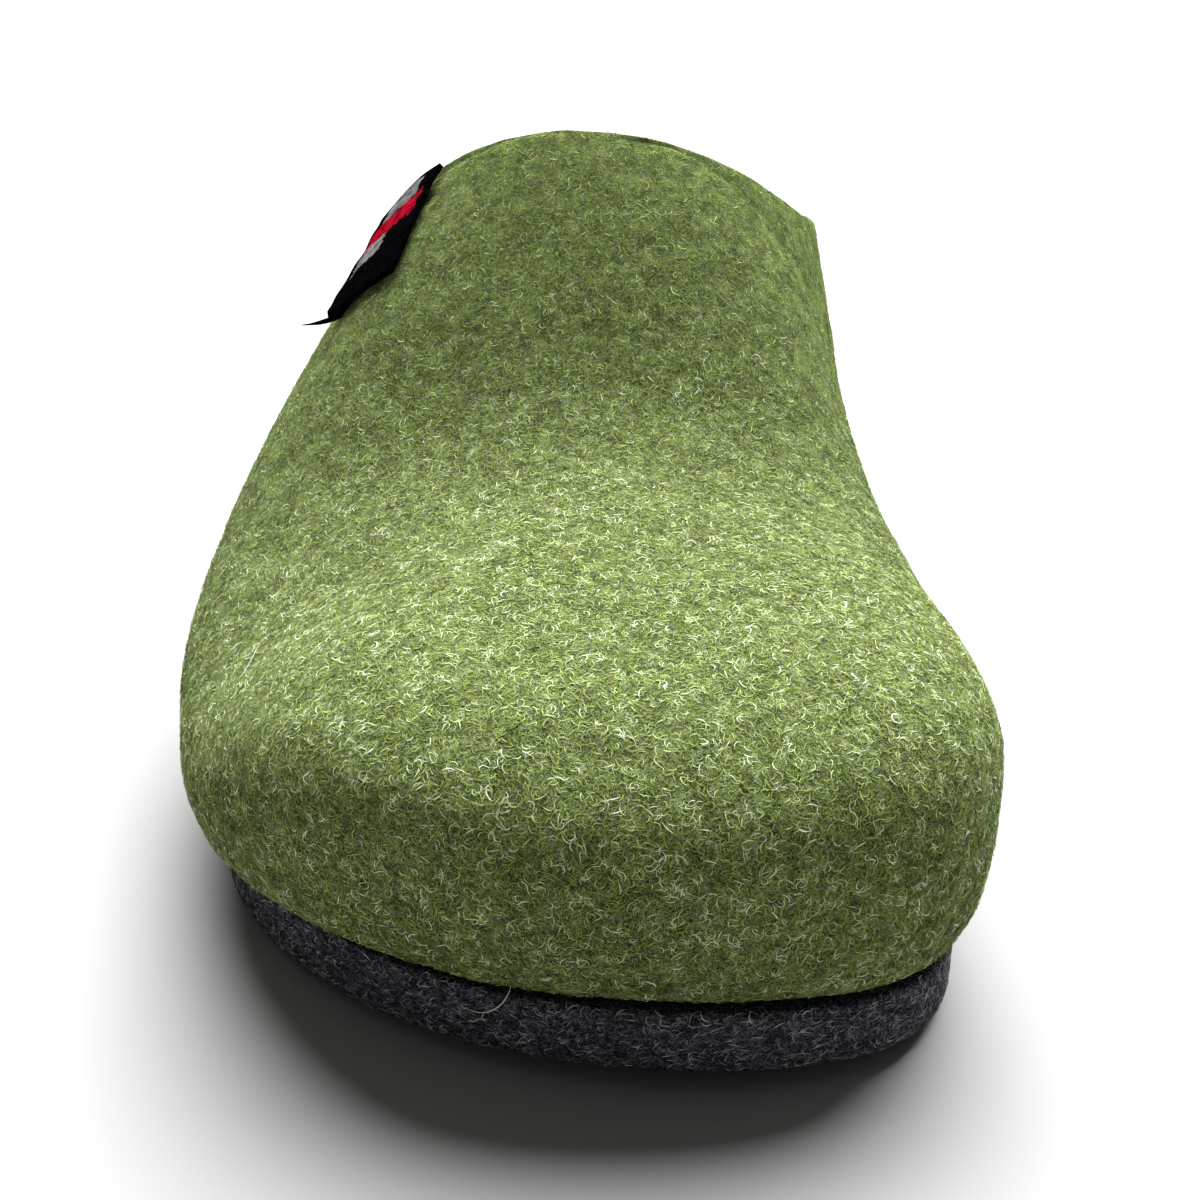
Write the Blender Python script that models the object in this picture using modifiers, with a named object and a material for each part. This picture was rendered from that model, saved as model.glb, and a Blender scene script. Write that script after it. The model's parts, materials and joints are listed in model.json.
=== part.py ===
"""A felt slipper for the right foot: a seamless hollow felt upper, a loose felt insole,
a flat felt sole with toe spring, and a small woven tab on the outer side of the collar.

The toe points along -Y, the inner side of the foot is +X and the floor is Z = 0.
"""

import bmesh
import bpy
import numpy as np
from mathutils import Vector
from mathutils.bvhtree import BVHTree

# Sizes of the slipper, in metres.
SOLE_LENGTH = 0.262
BALL_WIDTH = 0.096
SOLE_THICKNESS = 0.0083
TOE_SPRING = 0.004
ARCH_RISE = 0.001
TOE_HEIGHT = 0.0505
THROAT_HEIGHT = 0.0925
HEEL_HEIGHT = 0.048
OVERHANG = 0.0062
BULGE_HEIGHT = 0.0186
FELT_THICKNESS = 0.0042
INSOLE_THICKNESS = 0.004
TURN_IN = 0.009
FEATHER_INSET = 0.0035
SOLE_EDGE_RADIUS = 0.0008
COLLAR_EDGE_RADIUS = 0.001
LABEL_LENGTH = 0.0205
LABEL_WIDTH = 0.0165
LABEL_THICKNESS = 0.0009
LABEL_LIFT = 0.004
LABEL_INSET = 0.0012
CLEARANCE = 0.0003

# Shares of the sole length from the heel.
THROAT_ALONG = 0.54
SPRING_START = 0.766
ARCH_CENTRE = 0.435
ARCH_REACH = 0.166
TOE_POLE = 0.75
HEEL_POLE = 0.166
POLE_BEND = 0.125

# The sole's edge, from the heel along the inner side to the toe and back along the outer
# side. along: share of the sole length from the heel. across: share of the ball width from
# the centre line. overhang and bulge: shares of the two named sizes, for how far and how
# high the upper swells past the sole. wall and dome: how long its side stays upright and
# how flat its top is, from 0 to 1.
EDGE_COLUMNS = ("along", "across", "overhang", "bulge", "wall", "dome")
EDGE_ROWS = {
    "heel": (0.0, 0.0, 0.9, 1.0, 0.6, 0.6),
    "inner heel corner": (0.06, 0.28, 0.9, 1.0, 0.6, 0.6),
    "inner heel": (0.17, 0.35, 0.9, 1.0, 0.6, 0.6),
    "inner waist": (0.445, 0.365, 1.15, 0.9, 0.6, 0.66),
    "inner ball": (0.715, 0.485, 0.8, 1.35, 0.47, 0.47),
    "inner toe": (0.97, 0.467, 0.67, 0.95, 0.9, 0.95),
    "toe": (1.003, 0.135, 0.8, 1.12, 0.93, 0.82),
    "outer toe": (0.958, -0.207, 1.45, 1.3, 0.85, 0.67),
    "outer forefoot": (0.855, -0.439, 1.0, 0.65, 0.5, 0.4),
    "outer ball": (0.664, -0.527, 0.95, 1.0, 0.45, 0.42),
    "outer waist": (0.436, -0.42, 0.86, 1.0, 0.46, 0.4),
    "outer heel": (0.17, -0.35, 0.9, 1.0, 0.6, 0.6),
    "outer heel corner": (0.06, -0.28, 0.9, 1.0, 0.6, 0.6),
}

# The line along the top of the foot. rise: 0 at the toe height, 1 at the throat height.
# ridge: how far the line lies from the centre, as a share of the ball width.
CROWN_COLUMNS = ("along", "rise", "ridge")
CROWN_ROWS = (
    (1.1, -0.5, 0.06),
    (1.0, -0.105, 0.06),
    (0.89, 0.0, 0.05),
    (0.79, 0.035, 0.045),
    (0.685, 0.19, 0.015),
    (0.59, 0.76, -0.007),
    (0.52, 1.08, -0.025),
    (0.415, 1.39, 0.0),
    (0.23, 1.67, 0.0),
    (-0.05, 1.73, 0.0),
)

# The cut edge of the collar behind the throat. back: share of the way from the throat to
# the heel. fall: 0 at the throat, 1 at the heel height.
COLLAR_COLUMNS = ("back", "fall")
COLLAR_ROWS = (
    (0.0, 0.0),
    (0.09, 0.3),
    (0.23, 0.45),
    (0.42, 0.74),
    (0.71, 1.0),
    (1.1, 0.93),
)

# How the upper swells from the sole to its widest line: how directly it goes outward first,
# and how long it then goes straight up, from 0 to 1.
UNDERSIDE_OUT = 0.9
UNDERSIDE_UP = 0.5

# How strongly the mesh's upright lines keep to the sole's stations before they fan out to
# the collar's.
STATION_HOLD = 1.5

# Where the label's corner meets the collar, as a share of the way round from toe to heel,
# and how far the label is turned down from there.
LABEL_START = 0.507
LABEL_TURN = np.radians(15)

# How finely the shapes are divided.
FRONT_STEPS = 22
BACK_STEPS = 24
UNDERSIDE_STEPS = 5
CLIMB_STEPS = 10
ACROSS_STEPS = 7
SOLE_EDGE_STEPS = 2
INSOLE_EDGE_STEPS = 3
COLLAR_EDGE_STEPS = 2
LABEL_STEPS = (12, 9)

# How finely lines are measured and crossings are searched for.
EDGE_SAMPLES = 1500
RIM_SAMPLES = 300
LABEL_SAMPLES = 200
HALVINGS = 40
TANGENT_STEP = 1e-4
JOIN_DISTANCE = 1e-6
SHARP_ANGLE = np.radians(60)

FELT_GREEN = (0.205, 0.300, 0.068, 1.0)
FELT_CHARCOAL = (0.030, 0.033, 0.040, 1.0)
FELT_GREY = (0.190, 0.190, 0.185, 1.0)
WOVEN_BLACK = (0.010, 0.010, 0.011, 1.0)
FELT_ROUGHNESS = 0.95
WOVEN_ROUGHNESS = 0.7


def column(rows, names, name):
    """One named column of a table."""
    return np.array(list(rows), float)[:, names.index(name)]


def smooth_curve(knots, values, period=0.0):
    """A cubic spline through the values, straight at its ends, or closed over a period."""
    knots = np.asarray(knots, float)
    values = np.asarray(values, float)
    count = len(knots)
    if period:
        knots = np.append(knots, knots[0] + period)
        values = np.vstack([values, values[:1]])
    steps = np.diff(knots)
    slopes = np.diff(values, axis=0) / steps[:, None]
    matrix = np.eye(count)
    right = np.zeros((count, values.shape[1]))
    first, last = (0, count) if period else (1, count - 1)
    for i in range(first, last):
        matrix[i, i] = 2 * (steps[i - 1] + steps[i])
        matrix[i, i - 1] += steps[i - 1]
        matrix[i, (i + 1) % count] += steps[i]
        right[i] = 6 * (slopes[i] - slopes[i - 1])
    bends = np.linalg.solve(matrix, right)
    if period:
        bends = np.vstack([bends, bends[:1]])

    def at(where):
        where = np.asarray(where, float)
        if period:
            where = knots[0] + np.mod(where - knots[0], period)
        i = np.searchsorted(knots, where, side="right") - 1
        i = np.clip(i, 0, len(steps) - 1)
        step = steps[i][..., None]
        after = (where - knots[i])[..., None] / step
        before = 1 - after
        bend = (before**3 - before) * bends[i] + (after**3 - after) * bends[i + 1]
        return before * values[i] + after * values[i + 1] + bend * step**2 / 6

    return at


def quarter(share, out_handle, up_handle):
    """A quarter of a rounded shape, from (1, 0) straight up and over to (0, 1)."""
    rest = 1 - share
    out = rest**3 + 3 * rest**2 * share + 3 * rest * share**2 * out_handle
    up = 3 * rest**2 * share * up_handle + 3 * rest * share**2 + share**3
    return out, up


def along_to_y(along):
    """The Y of a share of the sole length from the heel."""
    return SOLE_LENGTH * (0.5 - np.asarray(along, float))


def ground_lift(y):
    """How far the sole curves up off the floor: at the toe, and slightly at the arch."""
    along = 0.5 - np.asarray(y, float) / SOLE_LENGTH
    toe = np.clip((along - SPRING_START) / (1 - SPRING_START), 0, None)
    arch = np.clip(1 - np.abs(along - ARCH_CENTRE) / ARCH_REACH, 0, 1)
    return TOE_SPRING * toe**2 + ARCH_RISE * arch**2 * (3 - 2 * arch)


class Last:
    """The outer form of the foot. A point on it is named by its side (1 inner, -1 outer),
    its share of the way round that side from toe to heel, and its climb: 0 at the sole,
    1 at the widest line and 2 at the top of the foot."""

    def __init__(self):
        rows = list(EDGE_ROWS.values())
        x = column(rows, EDGE_COLUMNS, "across") * BALL_WIDTH
        y = along_to_y(column(rows, EDGE_COLUMNS, "along"))
        chords = np.hypot(np.roll(x, -1) - x, np.roll(y, -1) - y)
        knots = np.cumsum(chords) - chords
        self.round = chords.sum()
        over = column(rows, EDGE_COLUMNS, "overhang") * OVERHANG
        bulge = column(rows, EDGE_COLUMNS, "bulge") * BULGE_HEIGHT
        wall = column(rows, EDGE_COLUMNS, "wall")
        dome = column(rows, EDGE_COLUMNS, "dome")
        table = np.column_stack([x, y, over, bulge, wall, dome])
        self.edge = smooth_curve(knots, table, self.round)
        self.fine = np.linspace(0, self.round, EDGE_SAMPLES)
        path = self.edge(self.fine)[:, :2]
        lengths = np.hypot(*np.diff(path, axis=0).T)
        self.travel = np.append(0, np.cumsum(lengths))
        toe = knots[list(EDGE_ROWS).index("toe")]
        self.toe = np.interp(toe, self.fine, self.travel)

        y = along_to_y(column(CROWN_ROWS, CROWN_COLUMNS, "along"))
        rise = column(CROWN_ROWS, CROWN_COLUMNS, "rise")
        ridge = column(CROWN_ROWS, CROWN_COLUMNS, "ridge") * BALL_WIDTH
        height = TOE_HEIGHT + rise * (THROAT_HEIGHT - TOE_HEIGHT)
        self.crown = smooth_curve(y, np.column_stack([height, ridge]))

        self.throat_y = along_to_y(THROAT_ALONG)
        back = column(COLLAR_ROWS, COLLAR_COLUMNS, "back")
        fall = column(COLLAR_ROWS, COLLAR_COLUMNS, "fall")
        top = self.crown(self.throat_y)[0]
        y = self.throat_y + back * (along_to_y(0) - self.throat_y)
        self.collar = smooth_curve(y, (top + fall * (HEEL_HEIGHT - top))[:, None])
        self.throat = self.find_throat()

    def section(self, side, share):
        """The edge point with its table values, its outward direction and its ridge."""
        inner = self.toe * (1 - share)
        outer = self.toe + (self.travel[-1] - self.toe) * share
        here = np.interp(np.where(side > 0, inner, outer), self.travel, self.fine)
        there = np.interp(np.where(side > 0, outer, inner), self.travel, self.fine)
        values = self.edge(here)
        step = self.round * TANGENT_STEP
        run = self.edge(here + step)[..., :2] - self.edge(here - step)[..., :2]
        run /= np.linalg.norm(run, axis=-1, keepdims=True)
        outward = np.stack([-run[..., 1], run[..., 0]], axis=-1)
        ridge_y = self.ridge_y((values[..., 1] + self.edge(there)[..., 1]) / 2)
        ridge = np.stack([self.crown(ridge_y)[..., 1], ridge_y], axis=-1)
        return values, outward, ridge

    def ridge_y(self, y):
        """The ridge follows the foot, and stops softly short of the toe and the heel."""
        bend = POLE_BEND * SOLE_LENGTH

        def ramp(over):
            soft = over**2 / (2 * bend)
            return np.where(over < 0, 0, np.where(over < bend, soft, over - bend / 2))

        start = along_to_y(TOE_POLE)
        end = along_to_y(HEEL_POLE)
        from_toe = start + ramp(y - start + bend / 2)
        return end - ramp(end - from_toe + bend / 2)

    def underside(self, over, bulge, climb):
        """How far out of the sole's edge and how high the side is, below its widest line."""
        rest = 1 - climb
        out = 3 * rest**2 * climb * UNDERSIDE_OUT + 3 * rest * climb**2 + climb**3
        up = 3 * rest * climb**2 * (1 - UNDERSIDE_UP) + climb**3
        return out * (over + FEATHER_INSET) - FEATHER_INSET, up * bulge

    def point(self, side, share, climb):
        """Points on the form. A climb below 0 lies that far in under the foot."""
        side, share, climb = np.broadcast_arrays(side, share, climb)
        values, outward, ridge = self.section(side, share)
        edge = values[..., :2]
        over, bulge, wall, dome = np.moveaxis(values[..., 2:], -1, 0)
        low = np.clip(climb, 0, 1)
        out, height = self.underside(over, bulge, low)
        out = out + np.clip(climb, None, 0)
        xy = edge + outward * out[..., None]
        z = SOLE_THICKNESS + CLEARANCE + height + ground_lift(xy[..., 1])
        spread, rise = quarter(np.clip(climb - 1, 0, 1), dome, wall)
        high_xy = ridge + (xy - ridge) * spread[..., None]
        high_z = z + (self.crown(high_xy[..., 1])[..., 0] - z) * rise
        above = climb > 1
        xy = np.where(above[..., None], high_xy, xy)
        z = np.where(above, high_z, z)
        return np.concatenate([xy, z[..., None]], axis=-1)

    def find_throat(self):
        """The share of the way round at which the ridge reaches the throat."""
        low, high = 0.0, 1.0
        for _ in range(HALVINGS):
            middle = (low + high) / 2
            if self.section(1, middle)[2][1] < self.throat_y:
                low = middle
            else:
                high = middle
        return (low + high) / 2

    def collar_climb(self, side, share):
        """The climb at which the collar cuts the side off, which is 2 before the throat."""
        low = np.ones(len(share))
        high = np.full(len(share), 2.0)
        for _ in range(HALVINGS):
            middle = (low + high) / 2
            where = self.point(side, share, middle)
            above = where[:, 2] > self.collar(where[:, 1])[:, 0]
            high = np.where(above, middle, high)
            low = np.where(above, low, middle)
        return np.where(share <= self.throat, 2.0, high)

    def stations(self):
        """The shares of the way round, at the sole and at the top, spaced evenly."""
        front = np.linspace(0, self.throat, FRONT_STEPS + 1)
        sole = np.linspace(self.throat, 1, BACK_STEPS + 1)[1:]
        fine = np.linspace(self.throat, 1, RIM_SAMPLES)
        rim = self.point(1, fine, self.collar_climb(1, fine))
        lengths = np.linalg.norm(np.diff(rim, axis=0), axis=1)
        travel = np.append(0, np.cumsum(lengths))
        even = np.linspace(0, travel[-1], BACK_STEPS + 1)[1:]
        top = np.interp(even, travel, fine)
        return np.append(front, sole), np.append(front, top)


def all_round(values):
    """A half's values on both halves, from the toe round the inner side and back."""
    return np.append(values, values[-2:0:-1])


def sides(count):
    """1 on the inner half, ends included, and -1 on the outer half."""
    return np.append(np.ones(count), -np.ones(count - 2))


def outline(last, inset, height):
    """A closed ring that far in from the sole's edge, and that high above its underside."""
    sole, _ = last.stations()
    values, outward, _ = last.section(sides(len(sole)), all_round(sole))
    xy = values[:, :2] - outward * np.broadcast_to(inset, len(outward))[:, None]
    return np.column_stack([xy, height + ground_lift(xy[:, 1])])


def upper_rows(last):
    """The rings of the upper's outer skin, from the turned-in margin up to the collar."""
    sole, top = last.stations()
    side = sides(len(sole))
    sole, top = all_round(sole), all_round(top)
    rows = [last.point(side, sole, -TURN_IN)]
    for i in range(UNDERSIDE_STEPS + 1):
        rows.append(last.point(side, sole, i / UNDERSIDE_STEPS))
    for i in range(1, CLIMB_STEPS + 1):
        part = i / CLIMB_STEPS
        share = sole + (top - sole) * part**STATION_HOLD
        end = last.collar_climb(side, share)
        rows.append(last.point(side, share, 1 + (end - 1) * part))
    return rows


def slopes(last):
    """How steeply the ground line rises outward at each station of the sole's edge."""
    sole, _ = last.stations()
    values, outward, _ = last.section(sides(len(sole)), all_round(sole))
    y, step = values[:, 1], outward[:, 1] * CLEARANCE
    return (ground_lift(y + step) - ground_lift(y - step)) / (2 * CLEARANCE)


def inner_profile(last, heights):
    """How far the upper's inner face lies inside the sole's edge, at heights over its base."""
    sole, _ = last.stations()
    values = last.section(sides(len(sole)), all_round(sole))[0]
    climb = np.linspace(0, 1, UNDERSIDE_STEPS + 1)
    reach = FELT_THICKNESS + 2 * CLEARANCE
    insets = []
    for over, bulge, slope in np.column_stack([values[:, 2:4], slopes(last)]):
        out, up = last.underside(over, bulge, climb)
        run = np.column_stack([np.gradient(out), np.gradient(up + slope * out)])
        run /= np.linalg.norm(run, axis=1)[:, None]
        inner_out = out - run[:, 1] * reach
        inner_up = up + slope * (out - inner_out) + run[:, 0] * reach
        inner_up = np.maximum.accumulate(inner_up)
        insets.append(-np.interp(heights, inner_up, inner_out))
    return np.array(insets).T


def centred(points, middle):
    return [(x - middle[0], y - middle[1], z) for x, y, z in points]


def fill_across(mesh, ring, height, middle, up):
    """Closes a ring with rows of faces from the inner side to the outer."""
    count = len(ring)
    rows = []
    for i in range(1, count // 2):
        inner, outer = ring[i].co, ring[count - i].co
        row = [ring[i]]
        for j in range(1, ACROSS_STEPS):
            spot = inner.lerp(outer, j / ACROSS_STEPS)
            spot.z = height + ground_lift(spot.y + middle[1])
            row.append(mesh.verts.new(spot))
        rows.append(row + [ring[count - i]])
    faces = []
    for j in range(ACROSS_STEPS):
        faces.append((ring[0], rows[0][j], rows[0][j + 1]))
        faces.append((ring[count // 2], rows[-1][j + 1], rows[-1][j]))
    for row, after in zip(rows, rows[1:]):
        for j in range(ACROSS_STEPS):
            faces.append((row[j], after[j], after[j + 1], row[j + 1]))
    for face in faces:
        mesh.faces.new(face if up else face[::-1])


def new_object(name, mesh, colour, roughness):
    """An object of its own from the faces, shaded smooth, with its own material."""
    data = bpy.data.meshes.new(name)
    mesh.to_mesh(data)
    mesh.free()
    data.shade_smooth()
    material = bpy.data.materials.new(name)
    material.use_nodes = True
    shader = material.node_tree.nodes["Principled BSDF"]
    shader.inputs["Base Color"].default_value = colour
    shader.inputs["Roughness"].default_value = roughness
    shader.inputs["Metallic"].default_value = 0.0
    data.materials.append(material)
    piece = bpy.data.objects.new(name, data)
    slipper.objects.link(piece)
    return piece


def loft(rows, middle):
    """Faces between rings of points, each ring counterclockwise and above the one before."""
    mesh = bmesh.new()
    rings = [[mesh.verts.new(p) for p in centred(row, middle)] for row in rows]
    count = len(rings[0])
    for low, high in zip(rings, rings[1:]):
        for i in range(count):
            after = (i + 1) % count
            mesh.faces.new((low[i], low[after], high[after], high[i]))
    return mesh, rings


def make_upper(last, middle):
    mesh, _ = loft(upper_rows(last), middle)
    bmesh.ops.remove_doubles(mesh, verts=mesh.verts, dist=JOIN_DISTANCE)
    upper = new_object("upper", mesh, FELT_GREEN, FELT_ROUGHNESS)
    wall = upper.modifiers.new("wall", "SOLIDIFY")
    wall.thickness = FELT_THICKNESS
    wall.offset = -1
    wall.use_even_offset = True
    edge = upper.modifiers.new("collar edge", "BEVEL")
    edge.width = COLLAR_EDGE_RADIUS
    edge.segments = COLLAR_EDGE_STEPS
    edge.use_clamp_overlap = False
    edge.limit_method = "ANGLE"
    edge.angle_limit = SHARP_ANGLE
    return upper


def make_outsole(last, middle):
    turns = np.radians(np.linspace(0, 90, SOLE_EDGE_STEPS + 1))
    insets = SOLE_EDGE_RADIUS * (1 - np.sin(turns))
    heights = SOLE_EDGE_RADIUS * (1 - np.cos(turns))
    rows = [outline(last, inset, height) for inset, height in zip(insets, heights)]
    for inset, height in zip(insets[::-1], heights[::-1]):
        rows.append(outline(last, inset, SOLE_THICKNESS - height))
    mesh, rings = loft(rows, middle)
    fill_across(mesh, rings[0], 0, middle, up=False)
    fill_across(mesh, rings[-1], SOLE_THICKNESS, middle, up=True)
    return new_object("outsole", mesh, FELT_CHARCOAL, FELT_ROUGHNESS)


def make_insole(last, middle):
    """The footbed lies on the turned-in margin and fills the ring inside it."""
    base = SOLE_THICKNESS + CLEARANCE
    island = FEATHER_INSET + TURN_IN + CLEARANCE
    lean = FELT_THICKNESS * np.abs(slopes(last))
    under = FELT_THICKNESS + CLEARANCE
    heights = under + INSOLE_THICKNESS * np.linspace(0, 1, INSOLE_EDGE_STEPS + 1)
    rows = [outline(last, island, base), outline(last, island + lean, base + under)]
    for inset, height in zip(inner_profile(last, heights), base + heights):
        rows.append(outline(last, inset, height))
    mesh, rings = loft(rows, middle)
    fill_across(mesh, rings[0], base, middle, up=False)
    fill_across(mesh, rings[-1], base + heights[-1], middle, up=True)
    return new_object("insole", mesh, FELT_GREY, FELT_ROUGHNESS)


def reached(points, values, start, distance):
    """The value at a distance along a line of points, from where the value is the start."""
    lengths = np.linalg.norm(np.diff(points, axis=0), axis=1)
    travel = np.append(0, np.cumsum(lengths))
    zero = np.interp(-start, -values, travel)
    return np.interp(zero + distance, travel, values)


def make_label(last, middle, upper):
    """A thin tab laid on the outer side, forward from the collar's edge and down. Its lower
    front corner lifts a little."""
    bpy.context.view_layer.update()
    skin = BVHTree.FromObject(upper, bpy.context.evaluated_depsgraph_get())
    top = last.collar_climb(-1, np.array([LABEL_START]))[0]
    shares = np.linspace(1, 0, LABEL_SAMPLES)
    climbs = np.linspace(2, 1, LABEL_SAMPLES)
    level = last.point(-1, shares, top)
    mesh = bmesh.new()
    rows = []
    for along in np.linspace(0, 1, LABEL_STEPS[0] + 1):
        row = []
        for down in np.linspace(0, 1, LABEL_STEPS[1] + 1):
            forward, lower = LABEL_LENGTH * along, LABEL_WIDTH * down
            ahead = LABEL_INSET + forward * np.cos(LABEL_TURN) - lower * np.sin(LABEL_TURN)
            below = LABEL_INSET + forward * np.sin(LABEL_TURN) + lower * np.cos(LABEL_TURN)
            share = reached(level, shares, LABEL_START, ahead)
            climb = reached(last.point(-1, share, climbs), climbs, top, below)
            point = last.point(-1, share, climb)
            spot, normal, _, _ = skin.find_nearest(Vector(centred([point], middle)[0]))
            lift = 2 * CLEARANCE + LABEL_LIFT * (along * down)**4
            row.append(mesh.verts.new(spot + normal * lift))
        rows.append(row)
    for row, after in zip(rows, rows[1:]):
        for a, b, c, d in zip(row, row[1:], after[1:], after):
            mesh.faces.new((a, b, c, d))
    label = new_object("label", mesh, WOVEN_BLACK, WOVEN_ROUGHNESS)
    cloth = label.modifiers.new("cloth", "SOLIDIFY")
    cloth.thickness = LABEL_THICKNESS
    cloth.offset = 1
    cloth.use_even_offset = True
    return label


def main():
    global slipper
    for old in list(bpy.data.objects):
        bpy.data.objects.remove(old, do_unlink=True)
    slipper = bpy.data.collections.new("felt_slipper")
    bpy.context.scene.collection.children.link(slipper)
    last = Last()
    skin = np.concatenate(upper_rows(last))
    middle = (skin.min(axis=0) + skin.max(axis=0)) / 2
    upper = make_upper(last, middle)
    make_insole(last, middle)
    make_outsole(last, middle)
    make_label(last, middle, upper)


main()
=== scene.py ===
"""The looks of a green felt slipper: matted wool skins with loose curled fibres on the upper,
a heather felt sole, a grey footbed and a small woven tab, on a pale studio floor."""

import json
import math

import bpy
import numpy as np
from bpy.props import FloatProperty, FloatVectorProperty, IntProperty, PointerProperty
from mathutils import Matrix, Vector
from mathutils.bvhtree import BVHTree

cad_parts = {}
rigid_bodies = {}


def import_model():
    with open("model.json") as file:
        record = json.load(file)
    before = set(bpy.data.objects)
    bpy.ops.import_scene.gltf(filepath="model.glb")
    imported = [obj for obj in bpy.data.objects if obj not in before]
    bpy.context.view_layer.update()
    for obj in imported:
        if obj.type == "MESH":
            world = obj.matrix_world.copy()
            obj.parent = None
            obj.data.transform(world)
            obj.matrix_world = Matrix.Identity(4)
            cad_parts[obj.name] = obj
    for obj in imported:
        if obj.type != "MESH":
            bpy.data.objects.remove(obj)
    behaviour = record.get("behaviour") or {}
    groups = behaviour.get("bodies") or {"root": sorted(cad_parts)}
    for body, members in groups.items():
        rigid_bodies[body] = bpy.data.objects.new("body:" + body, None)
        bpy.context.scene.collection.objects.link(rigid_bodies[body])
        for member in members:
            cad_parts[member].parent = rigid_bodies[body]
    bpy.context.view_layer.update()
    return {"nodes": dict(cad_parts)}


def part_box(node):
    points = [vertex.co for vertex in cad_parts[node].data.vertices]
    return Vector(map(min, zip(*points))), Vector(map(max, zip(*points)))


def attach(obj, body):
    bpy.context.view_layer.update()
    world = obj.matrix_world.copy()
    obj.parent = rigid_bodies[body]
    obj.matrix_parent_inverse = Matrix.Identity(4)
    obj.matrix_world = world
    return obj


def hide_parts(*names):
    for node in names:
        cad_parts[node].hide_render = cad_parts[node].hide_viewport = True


bl_info = {
    "name": "Felt Slipper",
    "version": (1, 0, 0),
    "blender": (4, 5, 0),
    "location": "View3D > Sidebar > Slipper",
    "description": "Dresses the frame of a felt slipper in wool, nap, a woven tab and a studio",
    "category": "Add Mesh",
}

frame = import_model()
UPPER_LOW, UPPER_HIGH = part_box("upper")
SOLE_LOW, SOLE_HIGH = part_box("outsole")
UV_MAP = "OFBake"

# The zones of the nap on the upper, from the toe back, and where each ends, as a share of the
# upper's length from its toe. Each zone is made as an inner and an outer piece.
NAP_ZONES = (("tip", 0.10), ("toe", 0.24), ("vamp", 0.44), ("waist", 0.70), ("heel", 1.00))
# No fibre starts lower than this above the floor.
LOWEST_FIBRE = 0.0012
# Up to where along the shoe the nap is at its thickest, and from where on it is thin.
NAP_THICK_TO = -0.085
NAP_THIN_FROM = 0.005
# The same for the fibres on the sole's side, as shares of the sole's length from its toe.
SOLE_THICK_TO = 0.20
SOLE_THIN_FROM = 0.38
# From where along the shoe the felt is rubbed, and from where on it is smoothest.
MATTED_TO = -0.055
RUBBED_FROM = 0.015
# Fibres stand where the felt faces away from an axis inside the shoe. It stops short of the
# toe and the heel by a share of the length. For the upper it lies at a share of its height, and
# for the sole as high above the floor as given.
UPPER_AXIS_MARGIN = 0.17
UPPER_AXIS_HEIGHT = 0.3
SOLE_AXIS_TOE_MARGIN = 0.20
SOLE_AXIS_HEEL_MARGIN = 0.15
SOLE_AXIS_HEIGHT = 0.03
# The least upward part of a face's normal that still gets fibres.
UPPER_STEEPEST = -0.93
SOLE_STEEPEST = -0.5
# So little below zero that a point in the middle still counts.
JUST_BELOW_ZERO = -1e-9
# Square centimetres in a square metre.
SQUARE_CENTIMETRES = 1e4
# The creases push away from a line at this share of the upper's height.
CREASE_AXIS_HEIGHT = 0.35
# Sizes of the upper's soft lumps, the wide ones and the small ones.
WIDE_LUMP = 0.022
SMALL_LUMP = 0.006
# Soft creases of the upper in millimetres: the middle of each, half its length and width,
# its turn in degrees from straight across, and how far it rises, or sinks below zero.
CREASES = {
    "flex ridge": (6.0, -68.0, 34.0, 9.0, -4.0, 0.7),
    "instep trough": (4.0, -43.0, 30.0, 8.0, 6.0, -0.7),
    "outer flex fold": (-34.0, -72.0, 16.0, 5.0, 35.0, 0.5),
    "inner flex fold": (33.0, -60.0, 14.0, 5.0, -30.0, -0.6),
    "toe edge": (10.0, -123.0, 26.0, 5.0, 3.0, 0.5),
    "toe dent": (12.0, -106.0, 16.0, 7.0, -12.0, -0.3),
    "outer toe dent": (-15.0, -113.0, 11.0, 5.0, -10.0, -0.4),
    "inner toe dent": (37.0, -103.0, 12.0, 5.0, 60.0, -0.6),
}
# Loose hairs, each laid on the nearest felt: which form, where in millimetres, and its turn in
# degrees, clockwise as seen from outside, from straight back or, on the toe's wall, from upright.
HAIRS = (
    ("long", -40, -89, 36, 50),
    ("ring", -27, -87, 44, 20),
    ("ring", -21, -106, 47, 200),
    ("tuft", 3, -114, 48, 80),
    ("tuft", 5, -113, 48, 130),
    ("short", 9, -133, 41, 75),
    ("ring", 41, -119, 45, 300),
    ("hook", 14, -135, 19, 10),
    ("ring", 13, -135, 17, 160),
    ("hook", 49, -123, 33, 210),
    ("long", -5, -129, 11, 100),
    ("hook", 21, -95, 48, 250),
    ("short", -8, -84, 50, 120),
    ("hook", 30, -40, 70, 330),
)
# The forms of the loose hairs: the length of one step in millimetres, how many steps, the
# turn at each in degrees, how much it rises and how much it rolls.
HAIR_FORMS = {
    "long": (0.85, 13, 9.0, 0.25, 0.6),
    "ring": (0.38, 11, 33.0, 0.30, 0.5),
    "tuft": (0.34, 8, 24.0, 0.80, 0.8),
    "short": (0.45, 5, 6.0, 0.40, 0.4),
    "hook": (0.40, 9, 26.0, 0.50, 0.7),
}
# The forms of the nap's fibres: the turn at each step in degrees, how much the fibre rises and
# how much it rolls.
NAP_FORMS = (
    (18, 0.35, 0.9),
    (34, 0.25, -0.7),
    (52, 0.30, 0.6),
    (-26, 0.45, 0.8),
    (-44, 0.20, -0.9),
    (8, 0.30, 1.1),
)
SOLE_FORMS = ((14, 0.2, 0.9), (30, 0.2, -0.7), (-22, 0.2, 0.8), (5, 0.2, -0.9))
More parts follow.
